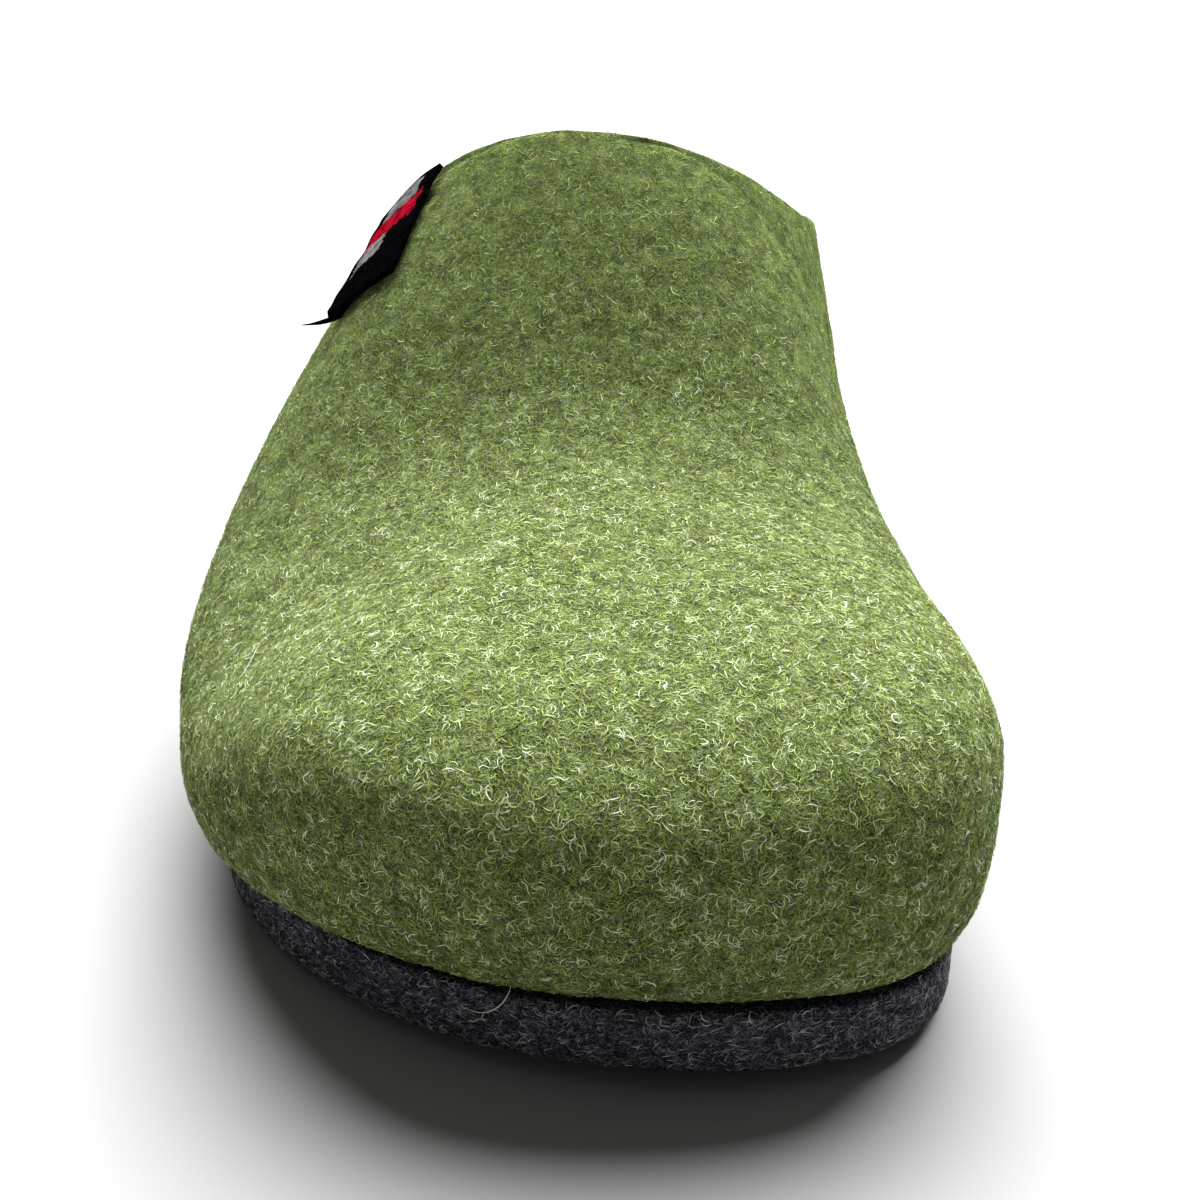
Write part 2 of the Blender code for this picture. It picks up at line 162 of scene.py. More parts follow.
# The tab's bars: the colour, the start and end of each across the tab from the collar forward,
# and its upper and lower end, all as shares of the tab.
TAB_BARS = (
    ("grey", 0.04, 0.21, 0.20, 0.82),
    ("red", 0.22, 0.47, 0.07, 0.96),
    ("grey", 0.48, 0.66, 0.48, 0.94),
)
# How deep the weave and the bars look.
TAB_RELIEF = 0.0002
# The thread end: which way is away from the felt, which way it runs, and in how many steps.
THREAD_OUTWARD = Vector((0.3, -0.9, 0.3))
THREAD_HEADING = Vector((-0.86, -0.1, -0.5))
THREAD_STEPS = 7
# What the camera looks at, where the light shines from, and how wide the floor is.
CAMERA_TARGET = Vector((0.0035, -0.0461, 0.0277))
LIGHT_SPOT = Vector((0.05, 0.42, 0.60))
FLOOR_SIZE = 8.0


def metres(name, description, default):
    return FloatProperty(name=name, description=description, default=default,
                         min=0.0, subtype="DISTANCE", unit="LENGTH", precision=5)


def share(name, description, default):
    return FloatProperty(name=name, description=description, default=default,
                         min=0.0, max=1.0, subtype="FACTOR")


def angle(name, description, degrees):
    return FloatProperty(name=name, description=description, default=math.radians(degrees),
                         subtype="ANGLE", unit="ROTATION")


def colour(name, description, default):
    return FloatVectorProperty(name=name, description=description, default=default,
                               size=3, min=0.0, max=1.0, subtype="COLOR")


class SlipperFelt(bpy.types.PropertyGroup):
    """Colours and relief of the green felt."""

    # Shadow green is partly the wool's own dark and partly painted shade: the dark of the gaps
    # between and under the fibres is painted into it.
    shadow: colour("Shadow green", "Deepest wool between the fibres", (0.036, 0.058, 0.004))
    body: colour("Body green", "Main colour of the matted wool", (0.222, 0.318, 0.056))
    bright: colour("Bright green", "Yellow green of the lighter wool", (0.525, 0.655, 0.280))
    pale: colour("Pale wool", "Undyed wool mixed into the green", (0.810, 0.870, 0.680))
    khaki: colour("Khaki wool", "Brownish wool mixed into the green", (0.250, 0.230, 0.090))
    patch: metres("Patch size", "Size of the lighter and darker patches", 0.0032)
    curl: metres("Curl size", "Size of the matted curls", 0.0008)
    lumps: metres("Lump height", "How far the felt's surface swells and sinks", 0.0005)
    relief: metres("Fibre relief", "How deep the matted curls look", 0.0003)
    rubbed: share("Rubbed instep", "How much of the curls' contrast the instep keeps", 0.45)


class SlipperNap(bpy.types.PropertyGroup):
    """Fibres that stand off the felt, and the few loose hairs on it."""

    step: metres("Step", "Length of one straight step of a fibre", 0.00032)
    width: metres("Width", "Width of a fibre in its middle", 0.00009)
    steps: IntProperty(name="Steps", description="Straight steps of a fibre", default=6,
                       min=3, max=12)
    thick: FloatProperty(name="Thick nap", description="Fibres on a square centimetre of the toe",
                         default=300.0, min=0.0)
    thin: FloatProperty(name="Thin nap", description="Fibres on a square centimetre of the rear",
                        default=55.0, min=0.0)
    sole_thick: FloatProperty(name="Sole's thick nap",
                              description="Fibres on a square centimetre of the sole's toe",
                              default=300.0, min=0.0)
    sole_thin: FloatProperty(name="Sole's thin nap",
                             description="Fibres on a square centimetre of the sole's rear",
                             default=40.0, min=0.0)
    calm: share("Calm rear", "How much of their difference in tone the rear fibres keep", 0.5)
    seed: IntProperty(name="Seed", description="Picks where the fibres lie", default=7)
    hair: colour("Loose hair", "Colour of the loose pale hairs", (0.800, 0.810, 0.720))
    hair_width: metres("Hair width", "Width of a loose hair in its middle", 0.00012)
    hair_height: metres("Hair height", "How far a loose hair lies above the felt", 0.0004)


class SlipperSole(bpy.types.PropertyGroup):
    """Colours of the sole and the footbed."""

    dark: colour("Sole dark", "Charcoal wool", (0.002, 0.003, 0.006))
    middle: colour("Sole middle", "Slate wool of the sole", (0.018, 0.021, 0.030))
    light: colour("Sole light", "Grey wool mixed into the charcoal", (0.340, 0.352, 0.385))
    pale: colour("Sole pale", "Few nearly white fibres", (0.720, 0.730, 0.760))
    bed_dark: colour("Footbed dark", "Darker grey of the footbed", (0.115, 0.114, 0.108))
    bed_middle: colour("Footbed middle", "Main grey of the footbed", (0.160, 0.158, 0.150))
    bed_light: colour("Footbed light", "Lighter grey of the footbed", (0.300, 0.295, 0.280))


class SlipperLabel(bpy.types.PropertyGroup):
    """Colours of the woven tab, its pressed corner and its thread end."""

    ground: colour("Ground", "Black ground weave", (0.003, 0.003, 0.004))
    red: colour("Red bar", "Red bar of the tab", (0.420, 0.006, 0.024))
    grey: colour("Grey bar", "Grey bars of the tab", (0.260, 0.255, 0.255))
    press: metres("Pressed corner", "How far the lower front corner is laid back", 0.0032)
    tail_step: metres("Thread step", "Length of one step of the thread end", 0.0014)
    tail_width: metres("Thread width", "Width of the thread end", 0.0009)


class SlipperStage(bpy.types.PropertyGroup):
    """Camera, floor and light."""

    distance: metres("Camera distance", "From the camera to its target", 0.3107)
    azimuth: angle("Azimuth", "Camera's turn round the slipper", 2.51)
    elevation: angle("Elevation", "Camera's angle above the floor", 23.18)
    roll: angle("Roll", "Camera's roll", 1.35)
    lens: FloatProperty(name="Lens", description="Focal length", default=61.39,
                        subtype="DISTANCE_CAMERA", unit="CAMERA")
    key: FloatProperty(name="Key light", description="Strength of the light above and behind",
                       default=13.0)
    spread: angle("Light spread", "How wide the light is", 65)
    sky: FloatProperty(name="Surround", description="Brightness of the surround", default=0.13)
    floor: share("Floor", "How pale the floor is", 0.36)


def take(piece):
    """Selects one piece alone."""
    active = bpy.context.view_layer.objects.active
    if active and active.mode != "OBJECT":
        bpy.ops.object.mode_set(mode="OBJECT")
    bpy.ops.object.select_all(action="DESELECT")
    if piece:
        piece.select_set(True)
    bpy.context.view_layer.objects.active = piece


def apply_modifiers(piece):
    take(piece)
    for name in [modifier.name for modifier in piece.modifiers]:
        bpy.ops.object.modifier_apply(modifier=name)


def place(piece, slot, *nodes):
    """The piece rides on the slipper's one body, and stands for the nodes that are named."""
    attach(piece, "root")
    if nodes:
        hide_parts(*nodes)


def merged_copy(node, name):
    """A copy of a node of the frame with its loose triangles joined into quads."""
    original = frame["nodes"][node]
    piece = bpy.data.objects.new(name, original.data.copy())
    piece.data.name = name
    piece.data.materials.clear()
    bpy.context.scene.collection.objects.link(piece)
    take(piece)
    bpy.ops.object.mode_set(mode="EDIT")
    bpy.ops.mesh.select_all(action="SELECT")
    bpy.ops.mesh.remove_doubles(threshold=0.00001)
    bpy.ops.mesh.customdata_custom_splitnormals_clear()
    wide = math.radians(50)
    bpy.ops.mesh.tris_convert_to_quads(face_threshold=wide, shape_threshold=wide)
    bpy.ops.object.mode_set(mode="OBJECT")
    return piece


def smooth_skin(node, name):
    """A finer copy of a node of the frame, shaded smooth."""
    skin = merged_copy(node, name)
    subdivide(skin, 1)
    apply_modifiers(skin)
    skin.data.shade_smooth()
    return skin


def subdivide(piece, levels):
    """Makes a piece finer and rounder."""
    finer = piece.modifiers.new("finer", "SUBSURF")
    finer.levels = levels
    finer.render_levels = levels


def swell(piece, name, size, height):
    """Soft lumps of a size and a height all over a piece."""
    pattern = bpy.data.textures.new(name, "CLOUDS")
    pattern.noise_scale = size
    pattern.noise_depth = 1
    lumps = piece.modifiers.new(name, "DISPLACE")
    lumps.texture = pattern
    lumps.texture_coords = "LOCAL"
    lumps.strength = height
    lumps.mid_level = 0.5


def crease(piece):
    """Soft troughs and ridges across the upper, both skins alike."""
    points = np.array([vertex.co for vertex in piece.data.vertices])
    middle = points.copy()
    middle[:, 0] = 0.0
    middle[:, 2] = CREASE_AXIS_HEIGHT * UPPER_HIGH.z
    outward = points - middle
    outward /= np.linalg.norm(outward, axis=1)[:, None]
    # The creases fade out down the sides.
    above = np.clip(outward[:, 2] * 1.6, 0, 1)
    rise = np.zeros(len(points))
    for x, y, length, width, turn, height in CREASES.values():
        slant = math.radians(turn)
        apart = points[:, :2] * 1000 - (x, y)
        along = apart @ (math.cos(slant), math.sin(slant)) / length
        across = apart @ (-math.sin(slant), math.cos(slant)) / width
        rise += height / 1000 * np.exp(-along ** 2 - across ** 2)
    points += outward * (rise * above)[:, None]
    piece.data.vertices.foreach_set("co", points.ravel())
    piece.data.update()


def felt_tree(node):
    """The skin of a node of the frame, to find the nearest spot on it."""
    mesh = frame["nodes"][node].data
    mesh.calc_loop_triangles()
    corners = [vertex.co for vertex in mesh.vertices]
    return BVHTree.FromPolygons(corners, [part.vertices for part in mesh.loop_triangles])


def moved_copy(form, name, spot, normal, heading):
    """A copy of a form that starts at a spot, lies on a face and points along a heading."""
    piece = form.copy()
    piece.data = form.data.copy()
    piece.name = name
    bpy.context.scene.collection.objects.link(piece)
    across = heading.cross(normal).normalized()
    ahead = normal.cross(across)
    turn = Matrix((across, ahead, normal)).transposed().to_4x4()
    piece.data.transform(Matrix.Translation(spot) @ turn)
    return piece


def join(pieces, name):
    """Makes one piece of several."""
    take(pieces[0])
    for piece in pieces:
        piece.select_set(True)
    bpy.ops.object.join()
    pieces[0].name = name
    pieces[0].data.name = name
    return pieces[0]


class Nodes:
    """A short way to write nodes and their links."""

    def __init__(self, tree):
        self.tree = tree

    def add(self, kind, values=None, **settings):
        """A node with its settings, and each socket linked or given its value."""
        node = self.tree.nodes.new(kind)
        for name, value in settings.items():
            setattr(node, name, value)
        for name, value in (values or {}).items():
            socket = node.inputs[name]
            if isinstance(value, bpy.types.NodeSocket):
                self.tree.links.new(value, socket)
            else:
                socket.default_value = value
        return node

    def math(self, operation, first, second=0.0):
        node = self.add("ShaderNodeMath", {0: first, 1: second}, operation=operation)
        return node.outputs[0]

    def spread(self, value, low, high, to_low=0.0, to_high=1.0):
        """Carries a range over to another, with soft ends."""
        values = {"Value": value, "From Min": low, "From Max": high,
                  "To Min": to_low, "To Max": to_high}
        node = self.add("ShaderNodeMapRange", values, interpolation_type="SMOOTHSTEP")
        return node.outputs["Result"]

    def mix(self, factor, first, second):
        values = {0: factor, 6: opaque(first), 7: opaque(second)}
        return self.add("ShaderNodeMix", values, data_type="RGBA").outputs[2]

    def shade(self, tone, amount):
        """A tone made darker or lighter by an amount."""
        values = {0: 1.0, 6: tone, 7: amount}
        return self.add("ShaderNodeMix", values, data_type="RGBA",
                        blend_type="MULTIPLY").outputs[2]

    def noise(self, where, size, detail=2.0, twist=0.0):
        values = {"Vector": where, "Scale": 1.0 / size, "Detail": detail,
                  "Roughness": 0.55, "Distortion": twist}
        return self.add("ShaderNodeTexNoise", values).outputs["Fac"]

    def shifted(self, where, offset, stretch=(1.0, 1.0, 1.0)):
        values = {"Vector": where, "Location": offset, "Scale": stretch}
        return self.add("ShaderNodeMapping", values).outputs["Vector"]

    def curls(self, where, size, width, twist=1.2):
        """Thin curled lines, where a cloud pattern crosses its middle."""
        cloud = self.noise(where, size, 1.0, twist)
        away = self.math("ABSOLUTE", self.math("SUBTRACT", cloud, 0.5))
        return self.spread(away, width, 0.0)

    def finish(self, shader, tone, height=None, depth=0.0, strength=1.0):
        """Links the tone, and a relief where there is one, to the shader."""
        self.tree.links.new(tone, shader.inputs["Base Color"])
        if height is not None:
            bump = self.add("ShaderNodeBump", {"Height": height, "Distance": depth,
                                               "Strength": strength})
            self.tree.links.new(bump.outputs["Normal"], shader.inputs["Normal"])


def opaque(value):
    """A colour with its fourth number, and a socket as it is."""
    if isinstance(value, bpy.types.NodeSocket):
        return value
    return (*value, 1.0)


def new_material(name, roughness=0.95, sheen=0.0, gloss=0.02):
    """A rough woollen material, its shader and a short way to add its nodes."""
    material = bpy.data.materials.new(name)
    material.use_nodes = True
    shader = material.node_tree.nodes["Principled BSDF"]
    shader.inputs["Roughness"].default_value = roughness
    shader.inputs["Specular IOR Level"].default_value = gloss
    shader.inputs["Sheen Weight"].default_value = sheen
    shader.inputs["Sheen Roughness"].default_value = 0.5
    return material, shader, Nodes(material.node_tree)


def green_felt(felt):
    """Matted green wool: clots of several greens down to a shadow green that is partly painted
    shade, crossed by lighter curled fibres and darker sunken lines of painted shade, which fade
    towards the instep, where the felt is rubbed smooth."""
    material, shader, nodes = new_material("green felt", sheen=0.02)
    here = nodes.add("ShaderNodeTexCoord").outputs["Object"]
    parts = nodes.add("ShaderNodeSeparateXYZ", {"Vector": here})
    matted = nodes.spread(parts.outputs["Y"], MATTED_TO, RUBBED_FROM, 1.0, felt.rubbed)
    clots = nodes.noise(here, felt.curl * 2.4, 3.0, 0.8)
    # The darkest clots are shadow green, partly painted shade; towards the instep and rear they
    # are calmer.
    calm = [(dark + 4 * plain) / 5 for dark, plain in zip(felt.shadow, felt.body)]
    deep = nodes.mix(matted, calm, felt.shadow)
    ground = nodes.mix(nodes.spread(clots, 0.38, 0.60), deep, felt.body)
    far = nodes.shifted(here, (0.31, 0.17, 0.05))
    brown = nodes.noise(far, felt.patch * 0.8, 2.0, 0.5)
    ground = nodes.mix(nodes.spread(brown, 0.60, 0.72, 0.0, 0.6), ground, felt.khaki)
    height = clots
    # Layers of curls: their share of the curl size, width, tone, strength, whether they rise or
    # sink, and where their pattern starts.
    layers = (
        (0.90, 0.055, felt.body, 0.9, 1.0, (0.0, 0.0, 0.0)),
        (0.62, 0.060, felt.body, 0.9, 1.0, (0.23, 0.41, 0.13)),
        (0.70, 0.045, felt.bright, 0.8, 1.0, (0.11, 0.27, 0.35)),
        (1.10, 0.030, felt.bright, 0.8, 1.0, (0.43, 0.07, 0.21)),
        # These two sinking layers in shadow green are painted shade in the gaps between the
        # curls.
        (0.85, 0.050, felt.shadow, 0.9, -1.0, (0.57, 0.31, 0.64)),
        (0.60, 0.045, felt.shadow, 0.8, -1.0, (0.19, 0.83, 0.47)),
        (1.30, 0.020, felt.pale, 0.8, 1.0, (0.77, 0.53, 0.09)),
    )
    for scale, width, tone, strength, lift, offset in layers:
        moved = nodes.shifted(here, offset)
        lines = nodes.curls(moved, felt.curl * scale, width)
        seen = nodes.math("MULTIPLY", nodes.math("MULTIPLY", lines, strength), matted)
        ground = nodes.mix(seen, ground, tone)
        raised = nodes.math("MULTIPLY", lines, lift)
        height = nodes.math("ADD", nodes.math("MULTIPLY", height, 0.9), raised)
    fine = nodes.noise(here, felt.curl * 0.25, 2.0)
    height = nodes.math("ADD", height, fine)
    patches = nodes.noise(here, felt.patch, 2.0, 0.4)
    tone = nodes.shade(ground, nodes.spread(patches, 0.32, 0.68, 0.72, 1.22))
    nodes.finish(shader, tone, height, felt.relief, 0.9)
    return material


def heather_felt(name, dark, middle, light, curl, relief):
    """Greys of wool pressed together, the lighter ones in short level fibres."""
    material, shader, nodes = new_material(name)
    here = nodes.add("ShaderNodeTexCoord").outputs["Object"]
    level = nodes.shifted(here, (0.0, 0.0, 0.0), (1.0, 1.0, 2.0))
    patches = nodes.noise(level, curl * 2.0, 3.0, 0.4)
    ground = nodes.mix(nodes.spread(patches, 0.42, 0.62), dark, middle)
    height = patches
    # Layers of fibres: their share of the curl size, width, tone, and where their pattern starts.
    layers = (
        (0.80, 0.035, middle, 0.0),
        (0.60, 0.050, light, 0.37),
        (0.70, 0.050, dark, 0.53),
        (1.00, 0.035, light, 0.71),
    )
    for scale, width, tone, offset in layers:
        moved = nodes.shifted(level, (offset, offset, offset))
        lines = nodes.curls(moved, curl * scale, width, 0.8)
        strength = nodes.math("MULTIPLY", lines, nodes.spread(patches, 0.32, 0.62, 0.35, 1.0))
        ground = nodes.mix(strength, ground, tone)
        height = nodes.math("ADD", height, lines)
    nodes.finish(shader, ground, height, relief, 0.7)
    return material


def fibre_material(name, tones):
    """Each fibre's own tone runs along its map's width, and its length along its height."""
    material, shader, nodes = new_material(name, roughness=0.85, gloss=0.1)
    spot = nodes.add("ShaderNodeUVMap", uv_map=UV_MAP).outputs["UV"]
    parts = nodes.add("ShaderNodeSeparateXYZ", {"Vector": spot})
    ramp = nodes.add("ShaderNodeValToRGB", {"Fac": parts.outputs["X"]})
    stops = ramp.color_ramp.elements
    # A new ramp has two stops already.
    for i, (where, tone) in enumerate(tones):
        stop = stops[i] if i < 2 else stops.new(where)
        stop.position = where
        stop.color = opaque(tone)
    tip = nodes.spread(parts.outputs["Y"], 0.0, 0.5, 0.75, 1.0)
    nodes.finish(shader, nodes.shade(ramp.outputs["Color"], tip))
    return material


def make_fibre(name, step, width, steps, turn, rise, twist):
    """A flat fibre of straight steps that curls by a turn at each step, rises and sinks."""
    take(None)
    bpy.ops.mesh.primitive_plane_add(size=width)
    fibre = bpy.context.object
    fibre.name = name
    bpy.ops.object.mode_set(mode="EDIT")
    bpy.ops.mesh.select_all(action="SELECT")
    bpy.ops.transform.resize(value=(1.0, step / width, 1.0))
    bpy.ops.object.mode_set(mode="OBJECT")
    for i in range(1, steps):
        corners = fibre.data.vertices
        first, second = (corners[-2], corners[-1]) if i > 1 else (corners[2], corners[3])
        middle = (first.co + second.co) / 2
        across = (second.co - first.co).normalized()
        heading = Vector((0, 0, 1)).cross(across)
        for vertex in corners:
            vertex.select = vertex in (first, second)
        for edge in fibre.data.edges:
            edge.select = all(corners[k].select for k in edge.vertices)
        for face in fibre.data.polygons:
            face.select = False
        bpy.ops.object.mode_set(mode="EDIT")
        lift = rise * step * math.cos(math.pi * i / (steps - 1))
        move = heading * step + Vector((0, 0, lift))
        bpy.ops.mesh.extrude_region_move(TRANSFORM_OT_translate={"value": move})
        centre = middle + move
        bpy.ops.transform.rotate(value=-turn, orient_axis="Z", center_override=centre)
        bpy.ops.object.mode_set(mode="OBJECT")
    count = len(fibre.data.vertices)
    along = np.arange(count) // 2 / (count // 2 - 1)
    side = np.arange(count) % 2
    points = np.array([vertex.co for vertex in fibre.data.vertices])
    spine = (points[0::2] + points[1::2]) / 2
    taper = np.repeat(np.clip(np.sin(np.pi * np.linspace(0.06, 0.94, len(spine))), 0.3, 1), 2)
    centre = np.repeat(spine, 2, axis=0)
    away = (points - centre) * taper[:, None]
    roll = np.repeat(twist * np.linspace(-1, 1, len(spine)), 2)
    away[:, 2] += np.sin(roll) * width / 2 * taper * np.where(side > 0, 1, -1)
    away[:, :2] *= np.cos(roll)[:, None]
    points = centre + away - spine.mean(axis=0) * (1, 1, 0)
    fibre.data.vertices.foreach_set("co", points.ravel())
    for key, values in (("along", along), ("side", side)):
        layer = fibre.data.attributes.new(key, "FLOAT", "POINT")
        layer.data.foreach_set("value", values.astype(np.float32))
    fibre.data.shade_smooth()
    return fibre


def fibre_set(name, nap, forms):
    """A collection of fibre forms to scatter, kept out of the scene."""
    store = bpy.data.collections.new(name)
    for i, (turn, rise, twist) in enumerate(forms):
        fibre = make_fibre(f"{name}_{i}", nap.step, nap.width, nap.steps, math.radians(turn),
                           rise, twist)
        for home in list(fibre.users_collection):
            home.objects.unlink(fibre)
        store.objects.link(fibre)
    return store


class ScatterTree:
    """Geometry nodes that lay the fibres of a collection on a skin and keep only them."""

    def __init__(self, name, store, material, settings):
        tree = bpy.data.node_groups.new(name, "GeometryNodeTree")
        tree.interface.new_socket("Geometry", in_out="INPUT", socket_type="NodeSocketGeometry")
        tree.interface.new_socket("Geometry", in_out="OUTPUT", socket_type="NodeSocketGeometry")
        self.tree = tree
        self.nodes = Nodes(tree)
        self.settings = settings
        self.build(store, material)

    def random(self, low, high, seed, kind="FLOAT"):
        """A random number between two, from the sockets that its kind has."""
        low_at, high_at, out = {"FLOAT": (2, 3, 1), "INT": (4, 5, 2)}[kind]
        node = self.nodes.add("FunctionNodeRandomValue", {low_at: low, high_at: high,
                                                          "Seed": seed}, data_type=kind)
        return node.outputs[out]

    def chosen(self):
        """The faces of the zone that face outwards and aren't under the foot."""
        zone = self.settings
        here = self.nodes.add("GeometryNodeInputPosition").outputs[0]
        parts = self.nodes.add("ShaderNodeSeparateXYZ", {0: here})
        facing = self.nodes.add("GeometryNodeInputNormal").outputs[0]
        up = self.nodes.add("ShaderNodeSeparateXYZ", {0: facing}).outputs["Z"]
        low, high = zone["axis_ends"]
        along = self.nodes.add("ShaderNodeClamp", {"Value": parts.outputs["Y"], "Min": low,
                                                   "Max": high}).outputs[0]
        axis = self.nodes.add("ShaderNodeCombineXYZ", {"Y": along, "Z": zone["axis_height"]})
        outward = self.nodes.add("ShaderNodeVectorMath", {0: here, 1: axis.outputs[0]},
                                 operation="SUBTRACT").outputs[0]
        way = self.nodes.add("ShaderNodeVectorMath", {0: outward, 1: facing},
                             operation="DOT_PRODUCT").outputs["Value"]
        tests = [
            self.nodes.math("GREATER_THAN", way, 0.0),
            self.nodes.math("GREATER_THAN", up, zone["steepest_down"]),
            self.nodes.math("GREATER_THAN", parts.outputs["Z"], LOWEST_FIBRE),
            self.nodes.math("GREATER_THAN", parts.outputs["Y"], zone["start"]),
            self.nodes.math("LESS_THAN", parts.outputs["Y"], zone["end"]),
            self.nodes.math("GREATER_THAN",
                            self.nodes.math("MULTIPLY", parts.outputs["X"], zone["side"]),
                            JUST_BELOW_ZERO),
        ]
        both = tests[0]
        for test in tests[1:]:
            both = self.nodes.math("MULTIPLY", both, test)
        return here, both

    def build(self, store, material):
        """Scatters, turns and tones the fibres, and maps their tone and length."""
        nodes, zone = self.nodes, self.settings
        source = nodes.add("NodeGroupInput").outputs[0]
        here, chosen = self.chosen()
        along = nodes.add("ShaderNodeSeparateXYZ", {0: here}).outputs["Y"]
        fade = {"low": zone["thick_end"], "high": zone["thin_start"]}
        density = nodes.spread(along, **fade, to_low=zone["thick"] * SQUARE_CENTIMETRES,
                               to_high=zone["thin"] * SQUARE_CENTIMETRES)
        contrast = nodes.spread(along, **fade, to_low=1.0, to_high=zone["calm"])
        spots = nodes.add("GeometryNodeDistributePointsOnFaces",
                          {"Mesh": source, "Selection": chosen, "Density": density,
                           "Seed": zone["seed"]}, distribute_method="RANDOM")
        forms = nodes.add("GeometryNodeCollectionInfo", {"Collection": store,
                          "Separate Children": True, "Reset Children": True})
        pick = self.random(0, len(store.objects) - 1, zone["seed"] + 1, "INT")
        size = self.random(zone["smallest"], zone["largest"], zone["seed"] + 2)
        laid = nodes.add("GeometryNodeInstanceOnPoints",
                         {"Points": spots.outputs["Points"], "Instance": forms.outputs[0],
                          "Pick Instance": True, "Instance Index": pick,
                          "Rotation": spots.outputs["Rotation"], "Scale": size})
        tilt = zone["tilt"]
        turn = nodes.add("ShaderNodeCombineXYZ",
                         {"X": self.random(-tilt, tilt, zone["seed"] + 3),
                          "Y": self.random(-tilt, tilt, zone["seed"] + 4),
                          "Z": self.random(math.pi / 2 - zone["spin"],
                                           math.pi / 2 + zone["spin"], zone["seed"] + 5)})
        turned = nodes.add("GeometryNodeRotateInstances",
                           {"Instances": laid.outputs[0], "Rotation": turn.outputs[0]})
        patch = nodes.noise(here, zone["patch"], 2.0, 0.6)
        patch = nodes.spread(patch, 0.32, 0.68)
        chance = self.random(0.0, 1.0, zone["seed"] + 6)
        tone = nodes.math("ADD", nodes.math("MULTIPLY", patch, zone["patchy"]),
                          nodes.math("MULTIPLY", chance, 1.0 - zone["patchy"]))
        tone = nodes.math("SUBTRACT", tone, 0.5)
        tone = nodes.math("ADD", nodes.math("MULTIPLY", tone, contrast), 0.5)
        toned = nodes.add("GeometryNodeStoreNamedAttribute",
                          {"Geometry": turned.outputs[0], "Name": "tone", "Value": tone},
                          data_type="FLOAT", domain="INSTANCE")
        real = nodes.add("GeometryNodeRealizeInstances", {"Geometry": toned.outputs[0]})
        tone, along, side = (nodes.add("GeometryNodeInputNamedAttribute", {"Name": name},
                                       data_type="FLOAT").outputs[0]
                             for name in ("tone", "along", "side"))
        across = nodes.math("ADD", nodes.math("MULTIPLY", tone, 0.94),
                            nodes.math("MULTIPLY", side, 0.04))
        spot = nodes.add("ShaderNodeCombineXYZ", {"X": across, "Y": along})
        mapped = nodes.add("GeometryNodeStoreNamedAttribute",
                           {"Geometry": real.outputs[0], "Name": UV_MAP,
                            "Value": spot.outputs[0]},
                           data_type="FLOAT2", domain="CORNER")
        done = nodes.add("GeometryNodeSetMaterial", {"Geometry": mapped.outputs[0],
                                                     "Material": material})
        nodes.add("NodeGroupOutput", {0: done.outputs[0]})


def scatter(skin, name, store, material, **zone):
    """Fibres of their own, scattered over a part of a skin."""
    piece = bpy.data.objects.new(name, skin.data.copy())
    piece.data.materials.clear()
    bpy.context.scene.collection.objects.link(piece)
    fibres = piece.modifiers.new("fibres", "NODES")
    fibres.node_group = ScatterTree(name, store, material, zone).tree
    apply_modifiers(piece)
    for key in ("tone", "along", "side"):
        piece.data.attributes.remove(piece.data.attributes[key])
    piece.data.name = name
    return piece


class SLIPPER_OT_upper(bpy.types.Operator):
    """Makes the felt skin of the upper."""

    bl_idname = "slipper.upper"
    bl_label = "Upper"

    def execute(self, context):
        felt = context.scene.slipper_felt
        skin = smooth_skin("upper", "upper_felt")
        crease(skin)
        swell(skin, "wide lumps", WIDE_LUMP, felt.lumps * 1.6)
        swell(skin, "small lumps", SMALL_LUMP, felt.lumps)
        apply_modifiers(skin)
        skin.data.materials.append(green_felt(felt))
        place(skin, "felt_green", "upper")
        return {"FINISHED"}


class SLIPPER_OT_outsole(bpy.types.Operator):
    """Makes the charcoal felt sole."""

    bl_idname = "slipper.outsole"
    bl_label = "Sole"

    def execute(self, context):
        sole = context.scene.slipper_sole
        skin = smooth_skin("outsole", "sole_felt")
        skin.data.materials.append(heather_felt("charcoal felt", sole.dark, sole.middle,
                                                sole.light, curl=0.0007, relief=0.0002))
        place(skin, "felt_charcoal", "outsole")
        return {"FINISHED"}


class SLIPPER_OT_insole(bpy.types.Operator):
    """Makes the grey felt footbed."""

    bl_idname = "slipper.insole"
    bl_label = "Footbed"

    def execute(self, context):
        sole = context.scene.slipper_sole
        skin = smooth_skin("insole", "footbed_felt")
        skin.data.materials.append(heather_felt("grey felt", sole.bed_dark, sole.bed_middle,
                                                sole.bed_light, curl=0.0011,
                                                relief=0.0002))
        place(skin, "felt_grey", "insole")
        return {"FINISHED"}


